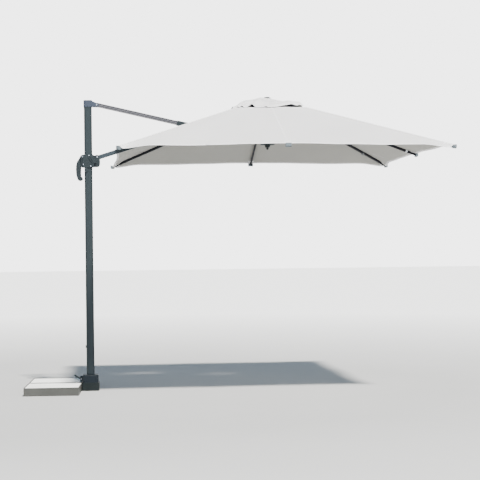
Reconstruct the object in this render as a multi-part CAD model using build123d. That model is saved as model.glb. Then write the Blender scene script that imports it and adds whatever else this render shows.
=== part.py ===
from build123d import *
import os
from math import atan2, cos, degrees, hypot, radians, sin, sqrt

os.makedirs("parts", exist_ok=True)

# Cantilever parasol. Millimetres. The origin is on the ground on the mast's axis,
# +X runs out along the boom, +Z is up.

# ---- driving dimensions: mast and base ----
CANOPY_SIDE = 3000.0        # square canopy, rib tip to rib tip across a side
HUB_X = 1751.0              # mast axis to canopy centre
MAST_W = 77.0               # mast section, both ways
MAST_CORNER = 20.0
MAST_TOP = 2796.0
MAST_FOOT = 92.0
MAST_WALL = 2.5
MAST_KNOB_Z = 423.0
CAP_W = 84.0
CAP_LOW, CAP_TOP = 2744.0, 2808.0

SLAB = 500.0                # standard paving slab
SLAB_T = 72.0
SLAB_GAP = 3.0
TRAY_WALL = 3.0
TRAY_FLOOR = 2.0
TRAY_H = 78.0
TRAY_RIB = 30.0             # box section between the two slabs
BASE_TURN = -3.2            # the base stands this many degrees off the boom's line
SOCKET_W = 168.0
SPINDLE_R = 25.0
SPINDLE_LOW, SPINDLE_HIGH = 12.0, 132.0
HOUSING_W = 154.0
HOUSING_TOP = 155.0
HOUSING_SEAT = 79.5         # underside of the turning part
SEAT_GAP = 0.5
PEDAL_PIVOT = (-92.0, 112.0)
PEDAL_LUG_IN, PEDAL_LUG_OUT = 20.0, 27.0
PEDAL_PIN_R = 4.0
TREAD_HALF = 34.0

# ---- linkage pivots (X, Z): the strut's pin is level with the middle of the other two ----
CAP_PIVOT = (85.0, 2761.0)
CARRIAGE_PIVOT = (85.0, 2257.0)
STRUT_PIVOT = (1035.0, 2509.0)
HUB_PIVOT = (HUB_X, 2769.0)
PIN_R = 6.0
PLAY = 0.35                 # running clearance, on the radius

# ---- strut ----
STRUT_ROOT = (85.0, 2764.8)
STRUT_SLOPE = -12.90
STRUT_RISE = 38.0           # the rails' centre line above the pin at the boom
RAIL_H = 36.0
RAIL_IN, RAIL_OUT = 24.0, 32.0
RAIL_SHORT = 92.0           # the rails stop this far before the pin
GROOVE_W, GROOVE_T = 5.0, 1.6
CHEEK_OUT = 38.0
CHEEK_L = 176.0
SPACERS = (190.0, 470.0)    # along the strut

# ---- boom ----
BOOM_FOOT = (85.0, 2250.0)  # the boom's centre line starts just below the carriage pivot
BOOM_W = 40.0
BOOM_END = 30.0             # length of the solid foot and head beyond the tube
PLUG = 17.0
PLUG_L = 32.0
BOOM_SLOPE = degrees(atan2(HUB_PIVOT[1] - BOOM_FOOT[1], HUB_PIVOT[0] - BOOM_FOOT[0]))
BOOM_L = hypot(HUB_PIVOT[1] - BOOM_FOOT[1], HUB_PIVOT[0] - BOOM_FOOT[0])

# ---- carriage and grip ----
CARRIAGE_LOW, CARRIAGE_TOP = 2157.0, 2279.0
CARRIAGE_HALF = 51.0
MAST_PLAY = 1.5
LOBE_IN = 21.5
WAIST = 36.0                # half width of the carriage beyond the mast
BOLT_R = 4.5
GRIP_PIVOT = (-58.0, 2262.0)
GRIP_HALF = 14.0
GRIP_PIN_R = 5.0
NOTCH_R = 12.0
NOTCH_PITCH = 20.0

# ---- hub and runner ----
RING_R = 60.0               # hinge circle of the hub and of the runner
RING_Z = 2799.0
RING_WIRE = 2.0
RUNNER_Z = 2379.0
RUNNER_R = 70.0
RUNNER_SLOT = 48.0          # the runner's slots start this far from its axis
HUB_R = 68.0
HUB_LOW, HUB_HIGH = RING_Z - 9, RING_Z + 8
YOKE_IN, YOKE_OUT = 20.6, 28.0
YOKE_R = 22.0
FINIAL_Z = (2826.0, 2831.0, 2838.0)

# ---- ribs and stretchers ----
RIB_W, RIB_H, RIB_WALL = 16.0, 24.0, 1.6
MID_SLOPE = 20.54
CORNER_SLOPE = 15.16
MID_LENGTH = 1516.6
CORNER_LENGTH = 2112.2
LUG_DROP = 22.0             # stretcher pivot below the rib's centre line
MID_LUG = 539.81            # along the rib, from the hub hinge
CORNER_LUG = 519.02
LUG_PIN_R = 3.0
TONGUE_W = 8.0
SLOT_W = 9.0
TONGUE_R = 7.0
BAR_W, BAR_H = 12.8, 14.0
MID_TIP_W, CORNER_TIP_W = 52.0, 32.0
BAND = (1410.0, 1428.0)     # along the right rib
CLIP = (1650.0, 1676.0)     # along the far right rib
RIBS = {
    "right": 0.0,
    "far_right": 45.0,
    "far": 90.0,
    "far_left": 135.0,
    "near_left": 225.0,
    "near": 270.0,
    "near_right": 315.0,
}

# ---- canopy cloth: heights of its underside ----
CLOTH_T = 2.0
CLOTH_APEX = 2836.0
MID_EDGE_Z = 2275.5
CORNER_EDGE_Z = 2257.5
BOOM_EDGE_Z = 2326.5
MID_EDGE = CANOPY_SIDE / 2
CORNER_EDGE = CANOPY_SIDE / 2 * sqrt(2)
SCALLOP = 30.0              # how far each half edge draws in between two rib tips
EDGE_INSET = 8.0
VENT_HALF = 340.0
SLOT_FROM, SLOT_TO, SLOT_HALF = 872.0, 1274.0, 50.0
FLAP_HALF = 375.0
FLAP_HOLE = 12.0
FLAP_APEX, FLAP_MID_Z, FLAP_CORNER_Z = 2825.0, 2735.0, 2715.0


def save(shape, name):
    shape.label = name
    export_step(shape, f"parts/{name}.step")


def plate(points, y0, y1):
    """A closed outline in X and Z, as a plate from y0 to y1."""
    side = Plane(origin=(0, y1, 0), x_dir=(1, 0, 0), z_dir=(0, -1, 0))
    return extrude(side * make_face(Polyline(*points, close=True)), y1 - y0)


def rod(x, z, r, y0, y1):
    """A round bar along Y."""
    return Pos(x, (y0 + y1) / 2, z) * Rot(90, 0, 0) * Cylinder(r, y1 - y0)


def block(x0, x1, y0, y1, z0, z1):
    return Pos((x0 + x1) / 2, (y0 + y1) / 2, (z0 + z1) / 2) * Box(x1 - x0, y1 - y0, z1 - z0)


def along(origin, slope, s, n):
    """The X, Z point s along a line that rises at slope degrees, and n above it."""
    a = radians(slope)
    return origin[0] + s * cos(a) - n * sin(a), origin[1] + s * sin(a) + n * cos(a)


def bar(origin, slope, s0, s1, n0, n1, y0, y1):
    """A straight bar laid along a sloping line, from s0 to s1 and n0 to n1."""
    corners = [(s0, n0), (s1, n0), (s1, n1), (s0, n1)]
    return plate([along(origin, slope, s, n) for s, n in corners], y0, y1)


def upright(w, corner, z0, z1):
    """A square section with rounded corners, standing on the mast's axis."""
    return Pos(0, 0, z0) * extrude(RectangleRounded(w, w, corner), z1 - z0)


def both_sides(shape):
    return shape + mirror(shape, about=Plane.XZ)


def around_hub(shape, azimuth):
    return Pos(HUB_X, 0, 0) * Rot(0, 0, azimuth) * shape


# ---- base ----
def base():
    turn = Rot(0, 0, BASE_TURN)
    right = -SOCKET_W / 2
    left = right - SLAB - 2 * SLAB_GAP - 2 * TRAY_WALL
    half = TRAY_RIB / 2 + SLAB + 2 * SLAB_GAP + TRAY_WALL
    tray = block(left, right, -half, half, 0, TRAY_H)
    slabs = {}
    for name, side in (("slab_near", -1), ("slab_far", 1)):
        y0 = side * TRAY_RIB / 2
        y1 = side * (half - TRAY_WALL)
        tray -= block(left + TRAY_WALL, right - TRAY_WALL, min(y0, y1), max(y0, y1), TRAY_FLOOR, TRAY_H + 1)
        y0 += side * SLAB_GAP
        y1 -= side * SLAB_GAP
        x0 = left + TRAY_WALL + SLAB_GAP
        slab = block(x0, x0 + SLAB, min(y0, y1), max(y0, y1), TRAY_FLOOR, TRAY_FLOOR + SLAB_T)
        slabs[name] = turn * chamfer(slab.edges().group_by(Axis.Z)[-1], 3)
    inner = TRAY_RIB / 2 - TRAY_WALL
    tray -= block(left + TRAY_WALL, right - TRAY_WALL, -inner, inner, -1, TRAY_H - TRAY_WALL)
    save(turn * tray, "base_tray")
    for name, slab in slabs.items():
        save(slab, name)
    socket = block(right, -right, right, -right, 0, HOUSING_SEAT - SEAT_GAP)
    socket = fillet(socket.edges().filter_by(Axis.Z), 10)
    spindle = Pos(0, 0, (SPINDLE_LOW + SPINDLE_HIGH) / 2) * Cylinder(SPINDLE_R, SPINDLE_HIGH - SPINDLE_LOW)
    save(turn * (socket - spindle), "base_socket")
    save(spindle, "swivel_spindle")


# ---- turntable and mast ----
def pedal_lug(side_from, side_to):
    px, pz = PEDAL_PIVOT
    root = -HOUSING_W / 2 + 2
    outline = [(root, pz - 28), (px - 6, pz - 28), (px - 11, pz - 20), (px - 11, pz + 16)]
    outline += [(px - 6, pz + 27), (root, pz + 28)]
    lug = plate(outline, side_from, side_to)
    return lug - rod(px, pz, PEDAL_PIN_R, side_from - 1, side_to + 1)


def turntable():
    housing = block(-HOUSING_W / 2, HOUSING_W / 2, -HOUSING_W / 2, HOUSING_W / 2, HOUSING_SEAT, HOUSING_TOP)
    housing = fillet(housing.edges().filter_by(Axis.Z), 26)
    housing = fillet(housing.edges().group_by(Axis.Z)[-1], 12)
    housing -= upright(MAST_W, MAST_CORNER, MAST_FOOT, HOUSING_TOP + 1)
    housing -= Pos(0, 0, HOUSING_SEAT) * Cylinder(SPINDLE_R + 0.6, 60)
    save(housing + both_sides(pedal_lug(PEDAL_LUG_IN, PEDAL_LUG_OUT)), "turntable_housing")
    save(rod(*PEDAL_PIVOT, PEDAL_PIN_R, -PEDAL_LUG_OUT - 2, PEDAL_LUG_OUT + 2), "pedal_pin")
    tube = upright(MAST_W, MAST_CORNER, MAST_FOOT, MAST_TOP)
    tube -= upright(MAST_W - 2 * MAST_WALL, MAST_CORNER - MAST_WALL, MAST_FOOT - 1, MAST_TOP + 1)
    save(tube, "mast")
    knob = Pos(-MAST_W / 2 - 3.5, 0, MAST_KNOB_Z) * Rot(0, 90, 0) * Cylinder(14, 7)
    save(chamfer(knob.edges().group_by(Axis.X)[0], 2), "mast_knob")


def pedal():
    px, pz = PEDAL_PIVOT
    y = PEDAL_LUG_IN - 0.5
    outline = [
        (px + 7, pz - 6),
        (px + 7, pz + 6),
        (px - 4, pz + 10),
        (px - 58, pz + 41),
        (px - 63, pz + 33),
        (px - 8, pz - 6),
    ]
    arm = plate(outline, -y, y)
    tread = [(px - 21, pz + 3), (px - 14, pz + 17), (px - 57, pz + 43), (px - 66, pz + 41)]
    tread.append((px - 67, pz + 31))
    arm += plate(tread, -TREAD_HALF, TREAD_HALF)
    arm -= rod(px, pz, PEDAL_PIN_R + PLAY, -y - 1, y + 1)
    save(arm, "pedal")


def mast_cap():
    half = CAP_W / 2
    ax, az = CAP_PIVOT
    cap = upright(CAP_W, 22, CAP_LOW, CAP_TOP)
    cap = fillet(cap.edges().group_by(Axis.Z)[-1], 6)
    nose = [(0, CAP_LOW), (ax + 14, CAP_LOW), (ax + 19, CAP_LOW + 6), (ax + 19, az + 2)]
    nose += [(ax + 6, az + 15), (half - 8, CAP_TOP - 6), (0, CAP_TOP - 6)]
    cap += plate(nose, -half + 2, half - 2)
    cap -= block(half + 8, ax + 60, -RAIL_OUT - 1, RAIL_OUT + 1, CAP_LOW - 1, CAP_TOP + 1)
    cap -= upright(MAST_W, MAST_CORNER, CAP_LOW - 1, MAST_TOP)
    cap -= rod(ax, az, PIN_R, -60, 60)
    save(cap, "mast_cap")
    save(rod(ax, az, PIN_R, -half - 1, half + 1), "cap_pin")


# ---- strut: two ribbed rails side by side ----
def strut_rail(end, inner, outer):
    """A grooved rail between two Y faces; the grooves run along its outer face."""
    half = RAIL_H / 2
    y0, y1 = sorted((inner, outer))
    rail = bar(STRUT_ROOT, STRUT_SLOPE, 0, end, -half, half, y0, y1)
    rail += rod(*CAP_PIVOT, half + 1, y0, y1)
    rail -= rod(*CAP_PIVOT, PIN_R + PLAY, y0 - 1, y1 + 1)
    out = 1 if outer > 0 else -1
    g0, g1 = sorted((outer - out * GROOVE_T, outer + out))
    for n in (-7.0, 7.0):
        rail -= bar(STRUT_ROOT, STRUT_SLOPE, 30, end + 5, n - GROOVE_W / 2, n + GROOVE_W / 2, g0, g1)
    return rail


def strut_cheek(reach, inner, outer):
    """The plate at the strut's outer end, which drops to the pin on the boom."""
    y0, y1 = sorted((inner, outer))
    deep = RAIL_H / 2 + 4
    low = -STRUT_RISE - 8
    outline = [
        (reach - CHEEK_L, -deep),
        (reach - 60, -deep),
        (reach - 16, low),
        (reach + 16, low),
        (reach + 18, -20),
        (reach - 44, deep),
        (reach - CHEEK_L, deep),
    ]
    cheek = plate([along(STRUT_ROOT, STRUT_SLOPE, s, n) for s, n in outline], y0, y1)
    cheek += rod(*STRUT_PIVOT, 17, y0, y1)
    return cheek - rod(*STRUT_PIVOT, PIN_R, y0 - 1, y1 + 1)


def strut():
    reach = (STRUT_PIVOT[0] - STRUT_ROOT[0]) / cos(radians(STRUT_SLOPE))
    for name, side in (("near", -1), ("far", 1)):
        save(strut_rail(reach - RAIL_SHORT, side * RAIL_IN, side * RAIL_OUT), f"strut_rail_{name}")
        save(strut_cheek(reach, side * RAIL_OUT, side * CHEEK_OUT), f"strut_cheek_{name}")
    spacers = Part()
    for s in SPACERS:
        spacers += rod(*along(STRUT_ROOT, STRUT_SLOPE, s, 0), 7, -RAIL_IN, RAIL_IN)
    save(spacers, "strut_spacers")
    save(rod(*STRUT_PIVOT, PIN_R, -CHEEK_OUT - 3, CHEEK_OUT + 3), "strut_pin")


# ---- boom ----
def boom_part(s0, s1, low, high, y):
    """A straight block along the boom's centre line."""
    return bar(BOOM_FOOT, BOOM_SLOPE, s0, s1, low, high, -y, y)


def boom():
    half = BOOM_W / 2
    tube = boom_part(BOOM_END, BOOM_L - BOOM_END, -half, half, half)
    tube = fillet(tube.edges().filter_by(lambda e: e.length > 1000), 6)
    tube -= boom_part(0, BOOM_L, -PLUG, PLUG, PLUG)
    save(tube, "boom_tube")
    foot = boom_part(4, BOOM_END, -half, half, half)
    foot += rod(*CARRIAGE_PIVOT, half - 1, -half, half)
    foot += boom_part(BOOM_END, BOOM_END + PLUG_L, -PLUG, PLUG, PLUG)
    foot -= rod(*CARRIAGE_PIVOT, PIN_R + PLAY, -half - 1, half + 1)
    save(foot, "boom_foot")
    head = boom_part(BOOM_L - BOOM_END, BOOM_L, -18, 18, half)
    head += rod(*HUB_PIVOT, 18, -half, half)
    head += boom_part(BOOM_L - BOOM_END - PLUG_L, BOOM_L - BOOM_END, -PLUG, PLUG, PLUG)
    head -= rod(*HUB_PIVOT, PIN_R + PLAY, -half - 1, half + 1)
    save(head, "boom_head")


def boom_saddle():
    """The clamp under the boom that the strut's pin passes through."""
    half = BOOM_W / 2
    s = (STRUT_PIVOT[0] - BOOM_FOOT[0]) / cos(radians(BOOM_SLOPE)) - 11
    saddle = boom_part(s - 70, s + 70, -half - 3, -half + 16, half + 2.6)
    saddle += boom_part(s - 26, s + 26, -half - 14, -half - 3, half)
    saddle += rod(*STRUT_PIVOT, 15, -half, half)
    saddle -= boom_part(s - 71, s + 71, -half, half, half)
    saddle -= rod(*STRUT_PIVOT, PIN_R + PLAY, -half - 5, half + 5)
    save(saddle, "boom_saddle")


# ---- carriage that slides on the mast ----
def carriage_outline():
    return [
        (-58, CARRIAGE_LOW),
        (96, CARRIAGE_LOW + 5),
        (108, CARRIAGE_LOW + 16),
        (113, CARRIAGE_LOW + 34),
        (113, CARRIAGE_LOW + 68),
        (108, CARRIAGE_LOW + 90),
        (100, CARRIAGE_LOW + 112),
        (90, CARRIAGE_TOP - 3),
        (76, CARRIAGE_TOP - 3),
        (60, CARRIAGE_TOP - 9),
        (40, CARRIAGE_TOP),
        (-60, CARRIAGE_TOP),
        (-74, CARRIAGE_TOP - 10),
        (-74, CARRIAGE_TOP - 30),
        (-68, CARRIAGE_TOP - 44),
        (-66, CARRIAGE_LOW + 8),
    ]


def carriage_shell(side):
    """Half of the carriage, with the diagonal brace and the sunk triangle on its outer face."""
    room = MAST_W / 2 + MAST_PLAY
    low, high = CARRIAGE_LOW - 1, CARRIAGE_TOP + 1
    inner, outer = sorted((side * 0.2, side * CARRIAGE_HALF))
    shell = plate(carriage_outline(), inner, outer)
    shell -= block(-room, room, -room, room, low, high)
    shell -= block(room + 11, 130, -LOBE_IN, LOBE_IN, low, high)
    shell -= block(-130, -room - 6, -GRIP_HALF - 1, GRIP_HALF + 1, low, high)
    w0, w1 = sorted((side * WAIST, side * (CARRIAGE_HALF + 1)))
    shell -= block(room + 12, 130, w0, w1, low, high)
    shell -= block(-130, -room - 12, w0, w1, low, high)
    p0, p1 = sorted((side * (CARRIAGE_HALF - 8), side * (CARRIAGE_HALF + 1)))
    pocket = [(-15, CARRIAGE_LOW + 14), (44, CARRIAGE_LOW + 30), (2, CARRIAGE_LOW + 92)]
    shell -= plate(pocket, p0, p1)
    shell -= rod(*CARRIAGE_PIVOT, PIN_R, -60, 60)
    shell -= rod(*GRIP_PIVOT, GRIP_PIN_R, -60, 60)
    b0, b1 = sorted((side * (WAIST - 1), side * (CARRIAGE_HALF + 5)))
    brace = [
        (13, CARRIAGE_TOP - 13),
        (22, CARRIAGE_TOP - 7),
        (36, CARRIAGE_TOP - 7),
        (80, CARRIAGE_LOW + 42),
        (54, CARRIAGE_LOW + 38),
    ]
    return shell + (plate(brace, b0, b1) - block(-room, room, -room, room, low, high))


def carriage():
    save(carriage_shell(-1), "carriage_shell_near")
    save(carriage_shell(1), "carriage_shell_far")
    save(rod(*CARRIAGE_PIVOT, PIN_R, -38, 38), "carriage_pin")
    save(rod(*GRIP_PIVOT, GRIP_PIN_R, -38, 38), "grip_pin")
    bolts = Part()
    for x, z in ((-48, CARRIAGE_LOW + 27), (22, CARRIAGE_LOW + 11), (6, CARRIAGE_TOP - 8)):
        bolts += both_sides(rod(x, z, BOLT_R, CARRIAGE_HALF, CARRIAGE_HALF + 3))
    save(bolts, "carriage_bolts")
    room = MAST_W / 2 + MAST_PLAY
    tongue = block(-36, -9, -CARRIAGE_HALF + 2, -room - 0.4, CARRIAGE_LOW - 46, CARRIAGE_LOW)
    save(chamfer(tongue.edges().filter_by(Axis.Y).group_by(Axis.Z)[0], 8), "carriage_tongue")


def grip():
    """A hooked hand grip with four finger notches on the side that faces the mast."""
    gx, gz = GRIP_PIVOT
    outer = [
        (gx + 9, gz + 10),
        (gx - 16, gz + 9),
        (gx - 34, gz - 24),
        (gx - 52, gz - 50),
        (gx - 61, gz - 86),
        (gx - 63, gz - 126),
        (gx - 61, gz - 168),
        (gx - 54, gz - 200),
        (gx - 44, gz - 224),
        (gx - 31, gz - 234),
        (gx - 16, gz - 236),
        (gx - 3, gz - 230),
        (gx + 5, gz - 220),
    ]
    inner = [
        (gx + 3, gz - 209),
        (gx - 5, gz - 196),
        (gx - 11, gz - 120),
        (gx - 8, gz - 96),
        (gx - 2, gz - 60),
        (gx + 6, gz - 30),
        (gx + 10, gz - 12),
    ]
    body = plate(outer + inner, -GRIP_HALF, GRIP_HALF)
    for i in range(4):
        body -= rod(gx - 1, gz - 186 + NOTCH_PITCH * i, NOTCH_R, -GRIP_HALF - 1, GRIP_HALF + 1)
    body -= rod(gx, gz, GRIP_PIN_R + PLAY, -GRIP_HALF - 1, GRIP_HALF + 1)
    save(body, "grip")


# ---- hub ----
def slotted_disc(low, high, radius, inner):
    disc = Pos(0, 0, (low + high) / 2) * Cylinder(radius, high - low)
    for azimuth in RIBS.values():
        slot = block(inner, radius + 5, -SLOT_W / 2, SLOT_W / 2, low - 1, high + 1)
        disc -= Rot(0, 0, azimuth) * slot
    return disc


def hub():
    hx, hz = HUB_PIVOT
    disc = slotted_disc(HUB_LOW, HUB_HIGH, HUB_R, RING_R - 14)
    groove = Cylinder(RING_R + RING_WIRE, 2 * RING_WIRE) - Cylinder(RING_R - RING_WIRE, 2 * RING_WIRE)
    disc -= Pos(0, 0, RING_Z) * groove
    cheek = block(-YOKE_R, YOKE_R, YOKE_IN, YOKE_OUT, hz - 4, HUB_LOW)
    cheek += rod(0, hz, YOKE_R, YOKE_IN, YOKE_OUT)
    cheek -= block(-40, 40, YOKE_IN - 1, YOKE_OUT + 1, HUB_LOW, HUB_HIGH + 40)
    cheek -= rod(0, hz, PIN_R, YOKE_IN - 1, YOKE_OUT + 1)
    save(Pos(hx, 0, 0) * (disc + both_sides(cheek)), "hub_body")
    save(Pos(hx, 0, RING_Z) * Torus(RING_R, RING_WIRE), "hub_ring")
    save(rod(hx, hz, PIN_R, -YOKE_OUT - 3, YOKE_OUT + 3), "hub_pin")
    neck, rim, crown = FINIAL_Z
    finial = Pos(hx, 0, (HUB_HIGH + neck) / 2) * Cylinder(9, neck - HUB_HIGH)
    finial += Pos(hx, 0, (neck + rim) / 2) * Cylinder(37, rim - neck)
    finial += Pos(hx, 0, (rim + crown) / 2) * Cylinder(27, crown - rim)
    save(finial, "finial")


# ---- ribs, stretchers and runner, drawn at azimuth 0 about the hub's axis ----
def lug_point(slope, lug):
    return along((RING_R, RING_Z), -slope, lug, -LUG_DROP)


def rib(slope, length, lug):
    root = (RING_R, RING_Z)
    tongue = bar(root, -slope, 0, 24, -TONGUE_R, TONGUE_R, -TONGUE_W / 2, TONGUE_W / 2)
    tongue += rod(*root, TONGUE_R, -TONGUE_W / 2, TONGUE_W / 2)
    w, h = RIB_W / 2, RIB_H / 2
    tube = bar(root, -slope, 17, length, -h, h, -w, w)
    tube -= bar(root, -slope, 28, length + 1, -h + RIB_WALL, h - RIB_WALL, -w + RIB_WALL, w - RIB_WALL)
    lx, lz = lug_point(slope, lug)
    ear = bar(root, -slope, lug - 9, lug + 9, -LUG_DROP, -h, -3, 3) + rod(lx, lz, 7, -3, 3)
    ear -= rod(lx, lz, LUG_PIN_R + PLAY, -4, 4)
    return tube + tongue + ear - rod(*root, RING_WIRE + 0.6, -TONGUE_W, TONGUE_W)


def rib_tip(slope, length, edge, width):
    """A cup on the rib's end: a plug, a seat below the hem, and a lip outside it."""
    root = (RING_R, RING_Z)
    w, h = RIB_W / 2 - RIB_WALL, RIB_H / 2 - RIB_WALL
    plug = bar(root, -slope, length - 30, length, -h, h, -w, w)
    x, z = along(root, -slope, length, 0)
    outline = [
        (x - 14, z - 19),
        (edge - 6, z - 23),
        (edge + 3, z - 12),
        (edge + 3, z + 14),
        (edge - 2.4, z + 14),
        (edge - 3.4, z + 5),
        (x + 5, z + 7),
        (x - 8, z - 2),
    ]
    cup = plate(outline, -width / 2, width / 2)
    cup -= bar(root, -slope, length - 40, length, -40, 40, -width, width)
    return plug + cup


def stretcher(slope, lug, pinned):
    lx, lz = lug_point(slope, lug)
    qx, qz = RING_R, RUNNER_Z
    rise = degrees(atan2(lz - qz, lx - qx))
    length = hypot(lz - qz, lx - qx)
    foot = (qx, qz)
    w, h = BAR_W / 2, BAR_H / 2
    shape = bar(foot, rise, 18, length - 16, -h, h, -w, w)
    shape += bar(foot, rise, 0, 20, -TONGUE_R, TONGUE_R, -TONGUE_W / 2, TONGUE_W / 2)
    shape += rod(qx, qz, TONGUE_R, -TONGUE_W / 2, TONGUE_W / 2)
    for y0, y1 in ((-w, -3.4), (3.4, w)):
        shape += bar(foot, rise, length - 18, length, -6.5, 6.5, y0, y1)
        shape += rod(lx, lz, 6.5, y0, y1)
    shape += rod(lx, lz, LUG_PIN_R, -w, w)
    if pinned:
        shape -= rod(qx, qz, RING_WIRE + PLAY, -TONGUE_W, TONGUE_W)
    return shape


def ribs():
    for name, azimuth in RIBS.items():
        if azimuth % 90 == 0:
            slope, length, lug, edge, width = MID_SLOPE, MID_LENGTH, MID_LUG, MID_EDGE, MID_TIP_W
        else:
            slope, length, lug = CORNER_SLOPE, CORNER_LENGTH, CORNER_LUG
            edge, width = CORNER_EDGE, CORNER_TIP_W
        save(around_hub(rib(slope, length, lug), azimuth), f"rib_{name}")
        save(around_hub(rib_tip(slope, length, edge, width), azimuth), f"rib_tip_{name}")
        save(around_hub(stretcher(slope, lug, azimuth % 90 == 0), azimuth), f"stretcher_{name}")


def rib_fittings():
    """A bright band round the right rib, and a clip under the far right one."""
    root = (RING_R, RING_Z)
    w, h = RIB_W / 2, RIB_H / 2
    band = bar(root, -MID_SLOPE, *BAND, -h - 2, h + 0.6, -w - 2, w + 2)
    band -= bar(root, -MID_SLOPE, BAND[0] - 1, BAND[1] + 1, -h, h, -w, w)
    save(around_hub(band, RIBS["right"]), "rib_band")
    clip = bar(root, -CORNER_SLOPE, *CLIP, -h - 9, 0, -w - 2, w + 2)
    clip -= bar(root, -CORNER_SLOPE, CLIP[0] - 1, CLIP[1] + 1, -h, h, -w, w)
    save(around_hub(clip, RIBS["far_right"]), "rib_clip")


def runner():
    disc = slotted_disc(RUNNER_Z - 10, RUNNER_Z + 10, RUNNER_R, RUNNER_SLOT)
    neck = Pos(0, 0, RUNNER_Z - 23) * Cone(20, 32, 26)
    body = disc + neck
    pins = Part()
    for name, azimuth in RIBS.items():
        if azimuth % 90 == 0:
            pin = Rot(0, 0, azimuth) * rod(RING_R, RUNNER_Z, RING_WIRE, -9, 9)
            body -= pin
            pins += pin
    save(Pos(HUB_X, 0, 0) * pins, "runner_pins")
    knob = Pos(0, 0, RUNNER_Z - 46) * Sphere(12)
    save(Pos(HUB_X, 0, 0) * (body + knob), "runner")


# ---- cloth ----
def sector(points):
    """A flat gore through its first three points, given a cloth's thickness."""
    edges = Polyline(*points, close=True)
    face = Face(Wire(edges.edges()))
    return extrude(face, amount=CLOTH_T, dir=(0, 0, 1))


def cloth_z(azimuth, r):
    """Height of the canopy's underside above a rib line, r from the hub's axis."""
    if azimuth == 180:
        slope = (CLOTH_APEX - BOOM_EDGE_Z) / MID_EDGE
    elif azimuth % 90 == 0:
        slope = (CLOTH_APEX - MID_EDGE_Z) / MID_EDGE
    else:
        slope = (CLOTH_APEX - CORNER_EDGE_Z) / CORNER_EDGE
    return CLOTH_APEX - slope * r


def flap_z(azimuth, r):
    if azimuth % 90 == 0:
        return FLAP_APEX - (FLAP_APEX - FLAP_MID_Z) * r / FLAP_HALF
    return FLAP_APEX - (FLAP_APEX - FLAP_CORNER_Z) * r / (FLAP_HALF * sqrt(2))


def gores(half_in, half_out, scallop, height):
    """Eight flat gores between the rib lines of a square sheet with a square opening."""
    sheet = None
    for i in range(8):
        a0, a1 = 45.0 * i, 45.0 * (i + 1)
        r0, r1 = (half_in * (sqrt(2) if a % 90 else 1) for a in (a0, a1))
        e0, e1 = (half_out * (sqrt(2) if a % 90 else 1) for a in (a0, a1))
        ring = [(a0, r0), (a0, e0), (a1, e1), (a1, r1)]
        pts = [Vector(r * cos(radians(a)), r * sin(radians(a)), height(a % 360, r)) for a, r in ring]
        if scallop:
            mid = (pts[1] + pts[2]) * 0.5
            inward = (pts[0] + pts[3]) * 0.5 - mid
            pts.insert(2, mid + inward * (scallop / inward.length))
        gore = sector([tuple(p) for p in pts])
        sheet = gore if sheet is None else sheet + gore
    return Pos(HUB_X, 0, 0) * sheet


def cloth():
    canopy = gores(VENT_HALF, MID_EDGE - EDGE_INSET, SCALLOP, cloth_z)
    canopy -= block(SLOT_FROM, SLOT_TO, -SLOT_HALF, SLOT_HALF, 2400, 2800)
    save(canopy, "canopy")
    flap = gores(FLAP_HOLE, FLAP_HALF, 0, flap_z)
    save(flap, "vent_flap")


base()
turntable()
pedal()
mast_cap()
strut()
boom()
boom_saddle()
carriage()
grip()
hub()
ribs()
rib_fittings()
runner()
cloth()
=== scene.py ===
import math

import bmesh
import bpy
from mathutils import Matrix, Vector


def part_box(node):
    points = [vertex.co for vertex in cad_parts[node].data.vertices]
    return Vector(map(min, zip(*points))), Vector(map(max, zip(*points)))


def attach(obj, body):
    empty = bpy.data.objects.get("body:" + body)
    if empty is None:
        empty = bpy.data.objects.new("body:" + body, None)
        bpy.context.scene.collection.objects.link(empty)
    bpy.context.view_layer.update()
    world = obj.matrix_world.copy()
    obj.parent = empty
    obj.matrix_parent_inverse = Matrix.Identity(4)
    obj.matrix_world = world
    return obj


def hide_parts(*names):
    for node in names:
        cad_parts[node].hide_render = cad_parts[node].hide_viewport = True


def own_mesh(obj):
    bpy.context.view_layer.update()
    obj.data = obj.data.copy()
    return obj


# A square cantilever parasol: cloth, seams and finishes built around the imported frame.
# Metres throughout, in the frame's own axes: +X out along the boom, +Z up.

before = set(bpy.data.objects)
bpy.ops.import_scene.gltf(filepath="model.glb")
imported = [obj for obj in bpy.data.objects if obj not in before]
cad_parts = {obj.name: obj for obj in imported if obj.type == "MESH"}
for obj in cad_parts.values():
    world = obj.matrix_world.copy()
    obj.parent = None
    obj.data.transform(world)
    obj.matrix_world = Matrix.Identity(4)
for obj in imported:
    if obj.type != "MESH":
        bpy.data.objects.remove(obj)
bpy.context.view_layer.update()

# ---- places read from the frame ----
cloth_low, cloth_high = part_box("canopy")
flap_low, flap_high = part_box("vent_flap")
finial_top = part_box("finial")[1].z
HUB = Vector(((cloth_low.x + cloth_high.x) / 2, 0, 0))
EDGE = (cloth_high.x - cloth_low.x) / 2
FLAP_EDGE = (flap_high.x - flap_low.x) / 2
BOOM_SIDE = 180

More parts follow.
